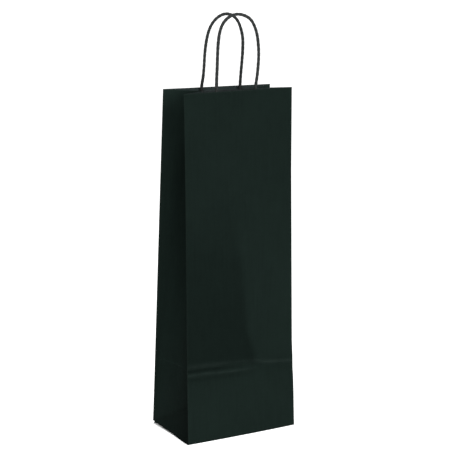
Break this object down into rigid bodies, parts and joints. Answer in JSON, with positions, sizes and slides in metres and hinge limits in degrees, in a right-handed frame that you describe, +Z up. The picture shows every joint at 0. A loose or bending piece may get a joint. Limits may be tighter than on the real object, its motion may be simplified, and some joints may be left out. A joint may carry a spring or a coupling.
{
  "type": "wine gift bag",
  "caption": "Tall narrow block-bottom paper bag for one wine bottle, with pleated sides and two twisted paper cord handles glued inside the mouth.",
  "frame": {"origin": "middle of the bag's bottom, on the floor that it stands on", "axes": "+Z up, front panel faces -Y, +X to the right of somebody who looks at the front panel"},
  "size_m": [0.14, 0.085, 0.4733],
  "materials": {
    "bag_paper": "matte",
    "handle_strip": "matte",
    "handle_cord": "matte"
  },
  "bodies": {
    "base": {"base_flap_outer": "bag_paper", "base_flap_inner": "bag_paper", "base_tuck_left": "bag_paper", "base_tuck_right": "bag_paper"},
    "front_panel": {"front_panel_lower": "bag_paper", "front_panel_upper": "bag_paper", "front_strip_backing": "handle_strip", "front_strip_cover": "handle_strip", "front_cord_leg_left": "handle_cord", "front_cord_leg_right": "handle_cord"},
    "back_panel": {"back_panel_lower": "bag_paper", "back_panel_upper": "bag_paper", "back_seam_lap": "bag_paper", "back_strip_backing": "handle_strip", "back_strip_cover": "handle_strip", "back_cord_leg_left": "handle_cord", "back_cord_leg_right": "handle_cord"},
    "left_gusset": {"left_gusset_lower": "bag_paper", "left_gusset_upper": "bag_paper"},
    "right_gusset": {"right_gusset_lower": "bag_paper", "right_gusset_upper": "bag_paper"},
    "left_front_wing": {"left_gusset_front_wing": "bag_paper"},
    "left_back_wing": {"left_gusset_back_wing": "bag_paper"},
    "right_front_wing": {"right_gusset_front_wing": "bag_paper"},
    "right_back_wing": {"right_gusset_back_wing": "bag_paper"},
    "front_handle": {"front_cord_loop": "handle_cord"},
    "back_handle": {"back_cord_loop": "handle_cord"}
  },
  "joints": [
    {"name": "mouth_fold", "type": "hinge", "parent": "base", "child": "front_panel", "pos_m": [0, -0.04224, 0.00024], "axis": [-1, 0, 0], "range_deg": [-2.83, 1.26]},
    {"name": "back_panel_fold", "type": "hinge", "parent": "base", "child": "back_panel", "pos_m": [0, 0.04224, 0.00024], "axis": [1, 0, 0], "range_deg": [-2.85, 1.28]},
    {"name": "left_gusset_fold", "type": "hinge", "parent": "base", "child": "left_gusset", "pos_m": [-0.06973, 0, 0.00023], "axis": [0, 1, 0], "range_deg": [-1.9, 0.87]},
    {"name": "right_gusset_fold", "type": "hinge", "parent": "base", "child": "right_gusset", "pos_m": [0.06973, 0, 0.00023], "axis": [0, -1, 0], "range_deg": [-1.9, 0.87]},
    {"name": "left_front_wing_fold", "type": "hinge", "parent": "front_panel", "child": "left_front_wing", "pos_m": [-0.06975, -0.0414, -0.00005], "axis": [0, -0.0495, -0.9988], "range_deg": [-31.26, 14.08]},
    {"name": "right_front_wing_fold", "type": "hinge", "parent": "front_panel", "child": "right_front_wing", "pos_m": [0.06975, -0.0414, -0.00005], "axis": [0, 0.0495, 0.9988], "range_deg": [-31.26, 14.08]},
    {"name": "left_back_wing_fold", "type": "hinge", "parent": "back_panel", "child": "left_back_wing", "pos_m": [-0.06975, 0.0414, -0.00005], "axis": [0, -0.0495, 0.9988], "range_deg": [-31.26, 14.08]},
    {"name": "right_back_wing_fold", "type": "hinge", "parent": "back_panel", "child": "right_back_wing", "pos_m": [0.06975, 0.0414, -0.00005], "axis": [0, 0.0495, -0.9988], "range_deg": [-31.26, 14.08]},
    {"name": "front_handle_swing", "type": "hinge", "parent": "front_panel", "child": "front_handle", "pos_m": [0, -0.01974, 0.39155], "axis": [1, 0, 0], "range_deg": [-2, 95]},
    {"name": "back_handle_swing", "type": "hinge", "parent": "back_panel", "child": "back_handle", "pos_m": [0, 0.01974, 0.39155], "axis": [-1, 0, 0], "range_deg": [-2, 95]}
  ],
  "couplings": [
    {"joint": "back_panel_fold", "follows": "mouth_fold", "ratio": 1},
    {"joint": "left_gusset_fold", "follows": "mouth_fold", "ratio": 0.6535},
    {"joint": "right_gusset_fold", "follows": "mouth_fold", "ratio": 0.6535},
    {"joint": "left_front_wing_fold", "follows": "mouth_fold", "ratio": 10.939},
    {"joint": "left_back_wing_fold", "follows": "mouth_fold", "ratio": 10.939},
    {"joint": "right_front_wing_fold", "follows": "mouth_fold", "ratio": 10.939},
    {"joint": "right_back_wing_fold", "follows": "mouth_fold", "ratio": 10.939}
  ]
}
